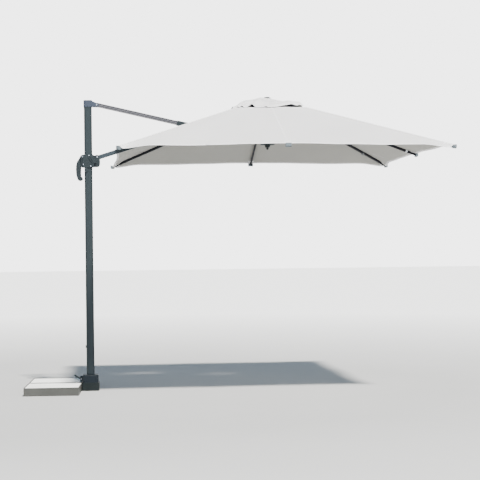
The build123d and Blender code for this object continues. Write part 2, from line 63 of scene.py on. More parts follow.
# ---- canopy ----
VENT = 0.340                # half width of the opening at the top
APEX_Z = 2.8375             # where the sloping cloth would meet the hub's axis
MID_DROP = 0.5605           # fall from there to the hem, over a middle rib
CORNER_DROP = 0.5785        # the same over a corner rib
BOOM_DROP = 0.5095          # and over the boom
SCALLOP = 0.030             # how far the hem draws in between two ribs
SAG = 0.014                 # how far the cloth hangs between two ribs
RIPPLE = 0.0012             # height of its faint waves
RIPPLE_GROWS = 2.2          # how fast they grow on the way out from the hub
RIPPLE_SPREADS = 3          # and on the way from a rib to the middle of the cloth
CANOPY_WAVES = ((17, 0.8, 1.0), (29, 2.1, 0.6))     # waves in a turn, their start, their share
CLOTH = 0.0010              # thickness of the cloth
CANOPY_ROWS = 44            # steps of its grid from the vent to the hem
STRIP_ROWS = 116            # the same for the strip along the boom, finer for the slot's end
HEM = 0.024                 # width of the folded tape
HEM_LIFT = 0.0014           # how far it stands off the cloth
HEM_WRAP = 0.0012           # how far it goes past the cloth's edge
HEM_EDGE = 0.2              # share of its lift that is left at its own edge
HEM_SLOPE = 0.15            # share of its width that it takes to rise
SEAM = 0.013                # half width of a corner's seam
SEAM_STEPS = 60
SEAM_SECTION = ((-1, 0.3), (-0.9, 1), (-0.45, 1), (0, 1), (0.45, 1), (0.9, 1), (1, 0.3))
TUCK = 0.004                # half width of the stitched tuck below the far right panel
TUCK_ENDS = ((1.17, 1.141), (1.38, 1.029))          # its ends: out from the hub, and along the side
TUCK_SLANT = (0.88, 0.47)   # the direction of its width, in the same terms
TUCK_STEPS = 12
PATCH = 0.034               # half width of the pocket over a rib's tip
PATCH_LENGTH = 1.9          # its length, in half widths
PATCH_END = 0.999           # where it stops, as a share of the way to the hem
PATCH_LIFT = 1.3            # half its thickness, in tape lifts
PATCH_STEPS = 6
DROOP = 0.024               # how far the hem pulls down beside each corner rib
DROOP_OUT = 0.14            # over this distance before the hem
DROOP_SIDE = (0.006, 0.024, 0.19)   # beside the rib: where the droop starts, is full, and has gone
KEEP = 0.11                 # share of its width that a folded panel is to keep; here a share under 1 only gives the panel a mesh of its own
CLOSING = 1.8               # how strongly the cloth's grid closes up towards a corner
STRIP = 0.060               # half width of the cloth sewn along the boom
SLOT = 0.872                # from here to the vent the boom side is open, for the strut
SLOT_HALF = 0.048
BINDING = 0.010             # width of the slot's binding
BINDING_STEPS = 24

# ---- upper flap ----
FLAP_INNER = 0.028          # half width of its hole, under the finial
FLAP_TOP = 0.0125           # how far it starts below the finial's top
FLAP_KEEP = 0.3             # share of its width that a folded piece of it is to keep; here a share under 1 only gives the piece a mesh of its own
FLAP_REST = 0.018           # usual height of the hem above the canopy
FLAP_SCALLOP = 0.010        # how far its hem draws in between the corners and the middles
FLAP_HEM = 0.7              # width of its tape, as a share of the canopy's
FLAP_ROWS = 26
FLAP_WAVES = ((0.0030, 11, 2.0, 3), (0.0018, 23, 0, 5))     # height, waves in a turn, start, twist
# How far it stands off a straight line from the finial to its hem. One row for every 45 degrees
# round, starting at the outer side; nine places from the finial to the hem.
FLAP_STAND = (
    (0, 0.004, 0.008, 0.012, 0.010, 0.006, 0.002, 0.000, 0.000),
    (0, 0.006, 0.010, 0.008, 0.004, -0.004, 0.006, 0.014, 0.006),
    (0, 0.003, 0.008, 0.012, 0.016, 0.012, 0.008, 0.002, 0.000),
    (0, 0.008, 0.004, -0.006, -0.004, 0.008, 0.012, 0.004, -0.004),
    (0, 0.003, 0.003, 0.002, -0.002, -0.004, -0.006, -0.010, -0.012),
    (0, 0.016, 0.015, 0.014, 0.020, 0.028, 0.020, -0.006, -0.014),
    (0, 0.004, 0.006, 0.003, 0.007, 0.010, 0.005, 0.001, -0.008),
    (0, -0.008, -0.010, -0.013, -0.003, 0.012, 0.004, 0.020, -0.006),
)
# How far the hem is drawn in, in the same eight directions. A minus lets it out. The fifth, for the
# boom side, was meant to draw in: its sign is a slip that is still to be repaired.
FLAP_REACH = (0, 0, 0, 0, -0.024, 0.004, 0, 0.056)
ARCH_POWER = 5              # how late on the way to the hem an arch begins to lift
# Places along each side where the hem lifts: middle, half width, height.
FLAP_ARCHES = {
    0: ((-0.25, 0.06, 0.016), (-0.02, 0.10, 0.012), (0.22, 0.07, 0.024)),
    90: ((-0.20, 0.09, 0.020), (0.06, 0.06, 0.010), (0.26, 0.06, 0.018)),
    180: ((-0.24, 0.05, 0.020), (0.25, 0.08, 0.016)),
    270: (
        (-0.328, 0.012, 0.016),
        (-0.290, 0.028, 0.020),
        (-0.196, 0.048, 0.034),
        (-0.058, 0.024, 0.009),
        (0.145, 0.105, 0.008),
        (0.200, 0.046, 0.011),
        (0.276, 0.022, 0.008),
    ),
}

# ---- bodies that the cloth rides on: name, azimuth of its rib, and its stretches of the four sides.
# A stretch runs across a side from -1 to 1 between the corners, in the steps that its last number
# says; a bound in brackets is in metres instead.
PANELS = (
    ("rib_right", 0, ((0, -0.5, 0.5, 28),)),
    ("rib_far_right", 45, ((0, 0.5, 1, 20), (90, -1, -0.5, 20))),
    ("rib_far", 90, ((90, -0.5, 0.5, 28),)),
    ("rib_far_left", 135, ((90, 0.5, 1, 20), (180, -1, -0.5, 20))),
    ("rib_near_left", 225, ((180, 0.5, 1, 20), (270, -1, -0.5, 20))),
    ("rib_near", 270, ((270, -0.5, 0.5, 28),)),
    ("rib_near_right", 315, ((270, 0.5, 1, 20), (0, -1, -0.5, 20))),
)
BOOM_HALVES = (
    ("boom_near", -STRIP, ((BOOM_SIDE, (STRIP,), 0.5, 13),)),
    ("boom_far", STRIP, ((BOOM_SIDE, -0.5, (-STRIP,), 13),)),
)
BOOM_STRIP = ((BOOM_SIDE, (-STRIP,), (STRIP,), 10),)
BOOM_FLAP = ((BOOM_SIDE, -0.5, 0.5, 28),)


# ---------------------------------------------------------------- materials
WEAR_RADIUS = 0.0022
WEAR_TURN = (0.90, 0.985)   # rounded normal dot true normal: fully rubbed, and not rubbed
GROOVE_AT = 0.007           # distance of a rail's two grooves from its middle
# inner and outer edge of the painted groove shade, as distances from a groove's middle
GROOVE_EDGE = (0.0022, 0.0034)
THREADS = 350.0
STITCH_AT = 0.36            # place of each row, as a share of the tape's half width
STITCH_EDGE = (0.03, 0.05)
STITCH_PITCH = 0.0045
STITCH_GAP = (0.25, 0.35)


class Paint:
    """A material being built: its tree, its shader and the object coordinates."""

    def __init__(self, name):
        self.mat = bpy.data.materials.new(name)
        self.mat.use_nodes = True
        self.tree = self.mat.node_tree
        self.tree.nodes.clear()
        self.out = self.node("OutputMaterial")
        self.shader = self.node("BsdfPrincipled")
        self.join(self.shader.outputs[0], self.out.inputs["Surface"])
        self.where = self.node("TexCoord").outputs["Object"]

    def node(self, kind):
        return self.tree.nodes.new("ShaderNode" + kind)

    def join(self, a, b):
        self.tree.links.new(a, b)

    def stretched(self, scale, turn=0.0):
        mapping = self.node("Mapping")
        mapping.inputs["Scale"].default_value = scale
        mapping.inputs["Rotation"].default_value = (0, turn, 0)
        self.join(self.where, mapping.inputs["Vector"])
        return mapping.outputs["Vector"]

    def noise(self, scale, detail=3.0, where=None):
        node = self.node("TexNoise")
        node.inputs["Scale"].default_value = scale
        node.inputs["Detail"].default_value = detail
        self.join(where or self.where, node.inputs["Vector"])
        return node.outputs["Fac"]

    def ramp(self, value, stops):
        node = self.node("ValToRGB")
        elements = node.color_ramp.elements
        while len(elements) < len(stops):
            elements.new(0.5)
        for element, (place, colour) in zip(elements, stops):
            element.position = place
            element.color = (*colour, 1)
        self.join(value, node.inputs["Fac"])
        return node.outputs["Color"]

    def spread(self, value, low, high, start=0.0, end=1.0):
        node = self.node("MapRange")
        node.inputs["From Min"].default_value = start
        node.inputs["From Max"].default_value = end
        node.inputs["To Min"].default_value = low
        node.inputs["To Max"].default_value = high
        self.join(value, node.inputs["Value"])
        return node.outputs["Result"]

    def sum(self, operation, a, b=None):
        node = self.node("Math")
        node.operation = operation
        for socket, value in zip(node.inputs, (a, b)):
            if isinstance(value, (int, float)):
                socket.default_value = value
            elif value is not None:
                self.join(value, socket)
        return node.outputs[0]

    def mix(self, a, b, factor, blend="MIX"):
        node = self.node("Mix")
        node.data_type = "RGBA"
        node.blend_type = blend
        for name, value in (("A", a), ("B", b)):
            socket = next(s for s in node.inputs if s.name == name and s.type == "RGBA")
            if isinstance(value, tuple):
                socket.default_value = (*value, 1)
            else:
                self.join(value, socket)
        if isinstance(factor, (int, float)):
            node.inputs["Factor"].default_value = factor
        else:
            self.join(factor, node.inputs["Factor"])
        return next(s for s in node.outputs if s.type == "RGBA")

    def bump(self, height, distance, strength, under=None):
        node = self.node("Bump")
        node.inputs["Distance"].default_value = distance
        node.inputs["Strength"].default_value = strength
        self.join(height, node.inputs["Height"])
        if under is not None:
            self.join(under, node.inputs["Normal"])
        self.join(node.outputs["Normal"], self.shader.inputs["Normal"])
        return node.outputs["Normal"]

    def colour(self, value):
        self.join(value, self.shader.inputs["Base Color"])

    def rough(self, value):
        self.join(value, self.shader.inputs["Roughness"])

    def worn(self, base, colour):
        """A lighter rub along sharp edges."""
        soft = self.node("Bevel")
        soft.samples = 4
        soft.inputs["Radius"].default_value = WEAR_RADIUS
        turned = self.node("VectorMath")
        turned.operation = "DOT_PRODUCT"
        self.join(soft.outputs["Normal"], turned.inputs[0])
        self.join(self.node("NewGeometry").outputs["Normal"], turned.inputs[1])
        return self.mix(colour, base, self.spread(turned.outputs["Value"], 0, 1, *WEAR_TURN))


def scaled(colour, factor):
    return tuple(min(1.0, c * factor) for c in colour)


def coated_metal(name, colour, roughness, painted_shade_corners=None):
    """Powder coat: fine orange peel, faint cloudiness, rubbed lighter along the edges, and on request
    painted shade along a square tube's rounded corners.
    """
    p = Paint(name)
    p.shader.inputs["Specular IOR Level"].default_value = 0.14
    cloud = p.noise(5.0, 4.0, p.stretched((1, 1, 0.2)))
    base = p.ramp(cloud, [(0.3, scaled(colour, 0.9)), (0.7, scaled(colour, 1.12))])
    if painted_shade_corners:
        # Painted shade: the colour darkens to 0.62 of itself on the rounded corners, where both x and y lie
        # far from the axis.
        split = p.node("SeparateXYZ")
        p.join(p.where, split.inputs[0])
        x, y = (p.sum("ABSOLUTE", split.outputs[axis]) for axis in ("X", "Y"))
        corner = p.spread(p.sum("MINIMUM", x, y), 0, 1, *painted_shade_corners)
        base = p.mix(base, scaled(colour, 0.62), corner)
    p.colour(p.worn(base, scaled(colour, 1.9)))
    p.rough(p.spread(cloud, roughness - 0.07, roughness + 0.08))
    p.bump(p.noise(420.0, 2.0), 0.0004, 0.5)
    return p.mat


def moulded_plastic(name, colour, roughness, rub=2.2):
    """Grained plastic: a leather-like skin, soft scuffs, and edges polished by handling."""
    p = Paint(name)
    p.shader.inputs["Specular IOR Level"].default_value = 0.11
    scuff = p.noise(22.0, 5.0, p.stretched((1, 1, 2.5)))
    base = p.ramp(scuff, [(0.35, scaled(colour, 0.85)), (0.75, scaled(colour, 1.25))])
    p.colour(p.worn(base, scaled(colour, rub)))
    cells = p.node("TexVoronoi")
    cells.inputs["Scale"].default_value = 900.0
    p.join(p.where, cells.inputs["Vector"])
    p.rough(p.spread(scuff, roughness - 0.08, roughness + 0.1))
    p.bump(cells.outputs["Distance"], 0.0003, 0.6)
    return p.mat


def drawn_metal(name, colour, roughness, stretch, metallic):
    """Extruded or turned bright metal, with fine drawing lines."""
    p = Paint(name)
    p.shader.inputs["Metallic"].default_value = metallic
    lines = p.noise(60.0, 4.0, p.stretched(stretch))
    base = p.ramp(lines, [(0.3, scaled(colour, 0.82)), (0.7, scaled(colour, 1.15))])
    p.colour(p.worn(base, scaled(colour, 1.4)))
    p.rough(p.spread(lines, roughness - 0.08, roughness + 0.1))
    p.bump(lines, 0.0003, 0.4)
    return p.mat


def fluted_metal(name, colour, dark, root, slope):
    """Bright extruded rail: drawing lines along it, and painted shade in its two grooves."""
    p = Paint(name)
    p.shader.inputs["Metallic"].default_value = 0.15
    p.shader.inputs["Specular IOR Level"].default_value = 0.2
    lines = p.noise(70.0, 4.0, p.stretched((0.03, 1, 1), -slope))
    base = p.ramp(lines, [(0.3, scaled(colour, 0.85)), (0.7, scaled(colour, 1.12))])
    across = p.node("VectorMath")
    across.operation = "DOT_PRODUCT"
    across.inputs[1].default_value = (-math.sin(slope), 0, math.cos(slope))
    p.join(p.where, across.inputs[0])
    level = -root[0] * math.sin(slope) + root[1] * math.cos(slope)
    height = p.sum("ABSOLUTE", p.sum("SUBTRACT", across.outputs["Value"], level))
    off = p.sum("ABSOLUTE", p.sum("SUBTRACT", height, GROOVE_AT))
    # Painted shade: a band round each groove turns to the near-black colour.
    p.colour(p.mix(dark, base, p.spread(off, 0, 1, *GROOVE_EDGE)))
    p.rough(p.spread(lines, 0.34, 0.52))
    p.bump(lines, 0.0003, 0.4)
    return p.mat


def cast_stone(name):
    """Pale paving slab: fine aggregate, faint stains and small pits."""
    p = Paint(name)
    p.shader.inputs["Specular IOR Level"].default_value = 0.2
    stain = p.noise(6.0, 6.0)
    grit = p.noise(260.0, 3.0)
    base = p.ramp(stain, [(0.25, (0.80, 0.80, 0.78)), (0.6, (0.90, 0.90, 0.87)), (0.8, (0.94, 0.94, 0.92))])
    speck = p.ramp(grit, [(0.34, (0.66, 0.66, 0.63)), (0.46, (1, 1, 1))])
    p.colour(p.mix(base, speck, 0.5, "MULTIPLY"))
    p.rough(p.spread(stain, 0.75, 0.92))
    p.bump(grit, 0.0012, 0.7)
    return p.mat


def woven(name, colour, see_through, through):
    """Awning cloth: a plain weave, faint cloudiness and creases, and light that comes through it."""
    p = Paint(name)
    p.shader.inputs["Specular IOR Level"].default_value = 0.15
    p.shader.inputs["Sheen Weight"].default_value = 0.12
    p.shader.inputs["Sheen Roughness"].default_value = 0.6
    cloud = p.noise(2.2, 5.0)
    base = p.ramp(cloud, [(0.3, scaled(colour, 0.97)), (0.7, scaled(colour, 1.02))])
    waves = []
    for direction in ("X", "Y"):
        wave = p.node("TexWave")
        wave.bands_direction = direction
        wave.inputs["Scale"].default_value = THREADS
        wave.inputs["Distortion"].default_value = 0.4
        p.join(p.where, wave.inputs["Vector"])
        waves.append(wave.outputs["Fac"])
    weave = p.sum("MULTIPLY", *waves)
    cloth = p.mix(base, p.ramp(weave, [(0.0, (0.93, 0.93, 0.93)), (0.6, (1, 1, 1))]), 1.0, "MULTIPLY")
    p.colour(cloth)
    p.rough(p.spread(cloud, 0.78, 0.9))
    crease = p.bump(p.noise(7.0, 4.0), 0.003, 0.3)
    p.bump(weave, 0.0003, 0.5, crease)
    glow = p.node("BsdfTranslucent")
    p.join(p.mix(cloth, through, 1.0, "MULTIPLY"), glow.inputs["Color"])
    both = p.node("MixShader")
    both.inputs["Fac"].default_value = see_through
    p.join(p.shader.outputs[0], both.inputs[1])
    p.join(glow.outputs[0], both.inputs[2])
    p.join(both.outputs[0], p.out.inputs["Surface"])
    return p.mat


def stitched(name, colour):
    """Folded hem tape with a row of stitches near each edge, laid out along the tape's own length."""
    p = Paint(name)
    p.shader.inputs["Specular IOR Level"].default_value = 0.15
    tape = p.node("UVMap")
    tape.uv_map = "tape"
    split = p.node("SeparateXYZ")
    p.join(tape.outputs[0], split.inputs[0])
    along, across = split.outputs["X"], split.outputs["Y"]
    line = p.sum("ABSOLUTE", p.sum("SUBTRACT", p.sum("ABSOLUTE", across), STITCH_AT))
    on_line = p.spread(line, 1, 0, *STITCH_EDGE)
    dash = p.spread(p.sum("FRACT", p.sum("DIVIDE", along, STITCH_PITCH)), 0, 1, *STITCH_GAP)
    stitch = p.sum("MULTIPLY", on_line, dash)
    cloud = p.noise(3.0, 4.0)
    base = p.ramp(cloud, [(0.3, scaled(colour, 0.96)), (0.7, scaled(colour, 1.03))])
    p.colour(p.mix(base, scaled(colour, 0.72), stitch))
    p.rough(p.spread(cloud, 0.78, 0.9))
    ribs = p.noise(900.0, 2.0)
    weave = p.bump(ribs, 0.0003, 0.6)
    p.bump(stitch, 0.0006, 0.8, weave)
    return p.mat


# The mast's rounded corners take painted shade between these two distances from its axis.
MAST = coated_metal("mast_coat", (0.013, 0.019, 0.021), 0.45, (0.024, 0.036))
BOOM = coated_metal("boom_coat", (0.022, 0.030, 0.036), 0.45)
CAP = coated_metal("cap_coat", (0.028, 0.035, 0.050), 0.42)
RIB = coated_metal("rib_coat", (0.012, 0.013, 0.018), 0.5)
TRAY = coated_metal("tray_coat", (0.050, 0.050, 0.045), 0.5)
DARK = moulded_plastic("dark_moulding", (0.014, 0.019, 0.021), 0.5)
HOUSING = moulded_plastic("housing_moulding", (0.006, 0.009, 0.012), 0.45)
SOCKET = moulded_plastic("socket_moulding", (0.008, 0.011, 0.011), 0.5)
TIP = moulded_plastic("tip_moulding", (0.10, 0.12, 0.13), 0.45, 1.5)
CLIP = moulded_plastic("clip_moulding", (0.16, 0.17, 0.18), 0.5, 1.4)
STRUT_ROOT, STRUT_SLOPE = (0.085, 2.7648), math.radians(-12.9)
# The near-black colour is painted shade for the rail's grooves.
RAIL = fluted_metal("strut_metal", (0.085, 0.082, 0.088), (0.004, 0.004, 0.005), STRUT_ROOT, STRUT_SLOPE)
STEEL = drawn_metal("steel", (0.30, 0.31, 0.33), 0.35, (1, 0.05, 1), metallic=0.5)
BAND = drawn_metal("bright_band", (0.62, 0.64, 0.67), 0.3, (1, 0.05, 1), metallic=0.3)
STONE = cast_stone("slab_stone")
OUTSIDE = woven("canopy_cloth", (0.70, 0.69, 0.69), 0.14, (1.0, 0.93, 0.78))
# Painted shade: the underside is the outside cloth made darker and a little warmer, for the shade below the
# canopy.
SHADED_INSIDE = woven("canopy_inside", (0.37, 0.365, 0.34), 0.14, (1.0, 0.93, 0.78))
TAPE = stitched("hem_tape", (0.68, 0.67, 0.67))

NODE_FINISH = {
    "mast": MAST,
    "boom_tube": BOOM,
    "boom_foot": BOOM,
    "mast_cap": CAP,
    "turntable_housing": HOUSING,
    "base_socket": SOCKET,
    "base_tray": TRAY,
    "slab_near": STONE,
    "slab_far": STONE,
    "strut_rail_near": RAIL,
    "strut_rail_far": RAIL,
    "strut_spacers": STEEL,
    "rib_band": BAND,
    "rib_clip": CLIP,
}
BRIGHT = ("_pin", "_pins", "_ring", "_bolts", "spindle")
ROUNDING = 0.0012
ROUNDING_STEPS = 2
ROUNDING_ANGLE = 40


def finish_for(node):
    if node in NODE_FINISH:
        return NODE_FINISH[node]
    if node.endswith(BRIGHT):
        return STEEL
    if node.startswith("rib_tip"):
        return TIP
    if node.startswith(("rib_", "stretcher_")):
        return RIB
    return DARK


def dress_frame():
    """Every CAD node keeps its shape and takes its finish, with a hair of rounding on its edges."""
    for name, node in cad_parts.items():
        node.data.materials.clear()
        node.data.materials.append(finish_for(name))
        edge = node.modifiers.new("edge", "BEVEL")
        edge.width = ROUNDING
        edge.segments = ROUNDING_STEPS
        edge.limit_method = "ANGLE"
        edge.angle_limit = math.radians(ROUNDING_ANGLE)


# ---------------------------------------------------------------- the cloth's shape
def steps(low, high, count):
    return [low + (high - low) * i / count for i in range(count + 1)]


def side_point(side, x, t, z):
    """A point x out from the hub's axis towards a side's middle, and t along that side."""
    a = math.radians(side)
    return HUB + Vector((x * math.cos(a) - t * math.sin(a), x * math.sin(a) + t * math.cos(a), z))


def ease(value, start, end):
    share = min(1.0, max(0.0, (value - start) / (end - start)))
    return share * share * (3 - 2 * share)


def shares(w0, w1, count):
    """Even steps from one side of a panel to the other, closing up towards a corner."""
    if w1 == 1:
        return [1 - (1 - f) ** CLOSING for f in steps(0, 1, count)]
    if w0 == -1:
        return [f ** CLOSING for f in steps(0, 1, count)]
    return steps(0, 1, count)


def drop_at(side, u):
    middle = BOOM_DROP if side % 360 == BOOM_SIDE else MID_DROP
    return middle * (1 - u) + CORNER_DROP * u


def share_across(bound, x):
    return bound[0] / x if isinstance(bound, tuple) else bound


def canopy_point(side, w, p, lift=0.0):
    """On one side's cloth: w runs from -1 to 1 between the corners, p from the vent to the hem."""
    w_edge = share_across(w, EDGE)
    u = abs(w_edge)
    outer = EDGE - SCALLOP * 4 * u * (1 - u)
    x = VENT + (outer - VENT) * p
    w = share_across(w, x)
    u = min(1.0, abs(w))
    t = x * w
    between = math.sin(math.pi * u) ** 2
    reach = x / EDGE
    z = APEX_Z - drop_at(side, u) * reach - SAG * between * reach ** 2
    angle = math.atan2(t, x)
    slack = sum(height * math.sin(count * angle + start) for count, start, height in CANOPY_WAVES)
    z += RIPPLE * slack * min(1.0, RIPPLE_GROWS * reach) * min(1.0, RIPPLE_SPREADS * between)
    beside = (1 - u) * x / math.sqrt(2)
    near, full, gone = DROOP_SIDE
    droop = ease(beside, near, full) * (1 - ease(beside, full, gone))
    z -= DROOP * droop * ease(x, EDGE - DROOP_OUT, EDGE)
    return side_point(side, x, t, z + lift)


def along_curve(values, place):
    """A smooth curve through equally spaced values, level with the last one at each end."""
    i = min(int(place), len(values) - 2)
    f = place - i
    a, b, c, d = (values[min(max(i + k, 0), len(values) - 1)] for k in (-1, 0, 1, 2))
    return b + 0.5 * f * (c - a + f * (2 * a - 5 * b + 4 * c - d + f * (3 * (b - c) + d - a)))


def round_curve(values, degrees_round):
    """The same curve closed into a ring."""
    return along_curve((*values[-2:], *values, *values[:2]), 2 + (degrees_round % 360) / 360 * len(values))


def arch(distance, half, height):
    share = abs(distance) / half
    return height * math.cos(math.pi * share / 2) ** 2 if share < 1 else 0.0


def flap_point(side, w, p, lift=0.0):
    """The upper cloth over the vent: held under the finial, slack, with a hem that lifts in places."""
    u = min(1.0, abs(w))
    around = side + math.degrees(math.atan(w))
    reach = FLAP_EDGE - FLAP_SCALLOP * 4 * u * (1 - u) - round_curve(FLAP_REACH, around)
    x = FLAP_INNER + (reach - FLAP_INNER) * p
    t = x * w
    turn = math.radians(around)
    hem = APEX_Z - drop_at(side, u) * reach / EDGE + FLAP_REST
    top = finial_top - FLAP_TOP
    z = top + (hem - top) * p
    z += round_curve([along_curve(row, 8 * p) for row in FLAP_STAND], around)
    if p:
        arches = FLAP_ARCHES[side % 360]
        z += sum(arch(t / p - middle, half, height) for middle, half, height in arches) * p ** ARCH_POWER
    slack = 4 * p * (1 - p)
    z += sum(size * math.sin(n * turn + start + twist * p) for size, n, start, twist in FLAP_WAVES) * slack
    return side_point(side, x, t, z + lift)


def new_piece(name, points, faces, materials):
    mesh = bpy.data.meshes.new(name)
    mesh.from_pydata(points, [], faces)
    for material in materials:
        mesh.materials.append(material)
    piece = bpy.data.objects.new(name, mesh)
    bpy.context.scene.collection.objects.link(piece)
    return piece


def lay_tape(piece, columns):
    """Lays the tape's length and width out flat, for its weave and stitches."""
    rows = len(columns[0])
    along = [0.0]
    for before, column in zip(columns, columns[1:]):
        along.append(along[-1] + (column[rows // 2] - before[rows // 2]).length)
    layer = piece.data.uv_layers.new(name="tape")
    count = len(columns) * rows
    for loop in piece.data.loops:
        i, j = divmod(loop.vertex_index % count, rows)
        layer.data[loop.index].uv = (along[i], 2 * j / (rows - 1) - 1)


def grid_normals(columns, before, after):
    """Upward normals at every point, reckoned with the cloth that carries on past both sides."""
    grid = [before or columns[0]] + columns + [after or columns[-1]]
    rows = len(columns[0])
    normals = []
    for i in range(1, len(columns) + 1):
        for j in range(rows):
            out = grid[i][min(j + 1, rows - 1)] - grid[i][max(j - 1, 0)]
            here = grid[i][j]
            back, on = here - grid[i - 1][j], grid[i + 1][j] - here
            normal = Vector()
            for side in (back, on):
                if side.length > 1e-6:
                    normal += out.cross(side).normalized()
            normals.append(normal.normalized())
    return normals


def cloth_solid(name, columns, half, materials, before=None, after=None, missing=None):
    """A sheet of even thickness through a grid of points, closed round its edge."""
    rows = len(columns[0])
    points = [p for column in columns for p in column]
    normals = grid_normals(columns, before, after)
    top = []
    for i in range(len(columns) - 1):
        for j in range(rows - 1):
            a = i * rows + j
            face = (a, a + 1, a + rows + 1, a + rows)
            if not missing or not missing(sum((points[k] for k in face), Vector()) / 4):
                top.append(face)
    used = sorted({k for face in top for k in face})
    number = {old: new for new, old in enumerate(used)}
    n = len(used)
    verts = [points[k] + normals[k] * half for k in used] + [points[k] - normals[k] * half for k in used]
    top = [tuple(number[k] for k in face) for face in top]
    under = [tuple(k + n for k in reversed(face)) for face in top]
    directed = {(face[k], face[(k + 1) % 4]) for face in top for k in range(4)}
    rim = [(b, a, a + n, b + n) for a, b in sorted(directed) if (b, a) not in directed]
    piece = new_piece(name, verts, top + under + rim, materials)
    mesh = piece.data
    mesh.polygons.foreach_set("use_smooth", [True] * (2 * len(top)) + [False] * len(rim))
    last = len(materials) - 1
    mesh.polygons.foreach_set("material_index", [0] * len(top) + [last] * len(top) + [0] * len(rim))
    smooth = [normals[k] for k in used]
    corner = []
    for face in mesh.polygons:
        for k in face.vertices:
            if face.index < len(top):
                corner.append(smooth[k])
            elif face.index < 2 * len(top):
                corner.append(-smooth[k - n])
            else:
                corner.append(face.normal.copy())
    mesh.normals_split_custom_set(corner)
    return piece


def tape_solid(name, columns):
    """A folded tape swept along its length, closed all round its section."""
    rows = len(columns[0])
    points = [p for column in columns for p in column]
    faces = []
    for i in range(len(columns) - 1):
        for j in range(rows):
            a, b = i * rows + j, i * rows + (j + 1) % rows
            faces.append((a, b, b + rows, a + rows))
    swept = len(faces)
    faces += [tuple(reversed(range(rows))), tuple(range(len(points) - rows, len(points)))]
    piece = new_piece(name, points, faces, (TAPE,))
    mesh = piece.data
    mesh.polygons.foreach_set("use_smooth", [True] * swept + [False] * (len(faces) - swept))
    turned = bmesh.new()
    turned.from_mesh(mesh)
    bmesh.ops.recalc_face_normals(turned, faces=turned.faces)
    turned.to_mesh(mesh)
    turned.free()
    lay_tape(piece, columns)
    return piece


def sheet_column(shape, side, w0, w1, share, along):
    column = []
    for p in steps(0, 1, along):
        x = VENT + (EDGE - VENT) * p
        w = share_across(w0, x) * (1 - share) + share_across(w1, x) * share
        column.append(shape(side, w, p))
    return column


def sheet_columns(shape, stretches, along):
    """The panel's grid, and one more column beyond each of its two sides."""
    columns = []
    for side, w0, w1, count in stretches:
        stretch = [sheet_column(shape, side, w0, w1, share, along) for share in shares(w0, w1, count)]
        columns += stretch[1:] if columns else stretch
    side, w0, w1, count = stretches[0]
    before = sheet_column(shape, side, w0, w1, -1 / count, along)
    side, w0, w1, count = stretches[-1]
    after = sheet_column(shape, side, w0, w1, 1 + 1 / count, along)
    return columns, before, after


def edge_columns(shape, stretches, length, width, outward):
    """A tape folded over an edge: across its upper face, round the edge and back below."""
    p_edge, p_in = (1.0, 1 - width / length) if outward else (0.0, width / length)
    p_full = p_in + (p_edge - p_in) * HEM_SLOPE
    fold = [(p_in, HEM_EDGE), (p_full, 1), (p_edge, 1), (p_edge, 0)]
    fold += [(p_edge, -1), (p_full, -1), (p_in, -HEM_EDGE)]
    out = HEM_WRAP / length * (1 if outward else -1)
    columns = []
    for side, w0, w1, count in stretches:
        stretch = []
        for share in shares(w0, w1, count):
            column = []
            for p, up in fold:
                p_here = p + out if up == 0 else p
                x = VENT + (EDGE - VENT) * p
                w = share_across(w0, x) * (1 - share) + share_across(w1, x) * share
                column.append(shape(side, w, p_here, up * HEM_LIFT))
            stretch.append(column)
        columns += stretch[1:] if columns else stretch
    return columns


# ---------------------------------------------------------------- the cloth's pieces
def follow(piece, body, keep):
    """The piece moves with its rib, and gets a mesh of its own when it is to keep less than its full width.
    """
    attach(piece, body)
    if keep < 1:
        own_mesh(piece)


def cloth_panel(name, shape, body, stretches, along, keep, trim, missing=None):
    columns, before, after = sheet_columns(shape, stretches, along)
    panel = cloth_solid(name, columns, CLOTH / 2, (OUTSIDE, SHADED_INSIDE), before, after, missing)
    follow(panel, body, keep)
    for extra in trim:
        follow(extra, body, keep)
    return panel


def seam_tape(name, side, w, half, lift):
    """A felled seam from the vent to the hem: over a corner where w is 1, or over the middle of a side."""
    columns = []
    for p in steps(0, 1, SEAM_STEPS):
        x = VENT + (EDGE - VENT) * p
        column = []
        for share, up in SEAM_SECTION:
            past = w == 1 and share > 0
            here, across = (side + 90, -1) if past else (side, w)
            column.append(canopy_point(here, across + share * half / x, p, up * lift))
        columns.append(column)
    return tape_solid(name, columns)


def tip_patch(name, stretches):
    """The doubled pocket of cloth that fits over a rib's tip."""
    columns = []
    places = steps(1 - PATCH_LENGTH * PATCH / (EDGE - VENT), PATCH_END, PATCH_STEPS)
    for side, w0, w1 in stretches:
        stretch = [[canopy_point(side, w, p) for p in places] for w in steps(w0, w1, PATCH_STEPS)]
        columns += stretch[1:] if columns else stretch
    patch = cloth_solid(name, columns, PATCH_LIFT * HEM_LIFT, (TAPE,))
    lay_tape(patch, columns)
    return patch


def under_seam(name, side, start, end):
    """A short stitched tuck on the underside, between two places given as out and along."""
    columns = []
    for f in steps(0, 1, TUCK_STEPS):
        out, along = (a + (b - a) * f for a, b in zip(start, end))
        column = []
        for share, up in SEAM_SECTION:
            x = out + TUCK_SLANT[0] * share * TUCK
            t = along + TUCK_SLANT[1] * share * TUCK
            u = t / x
            outer = EDGE - SCALLOP * 4 * u * (1 - u)
            column.append(canopy_point(side, u, (x - VENT) / (outer - VENT), -up * HEM_LIFT))
        columns.append(column)
    return tape_solid(name, columns)


def edge_tapes(short, stretches, length):
    """A panel's tapes along the hem and round the vent."""
    return [
        tape_solid(f"hem_{short}", edge_columns(canopy_point, stretches, length, HEM, True)),
        tape_solid(f"rim_{short}", edge_columns(canopy_point, stretches, length, HEM, False)),
    ]


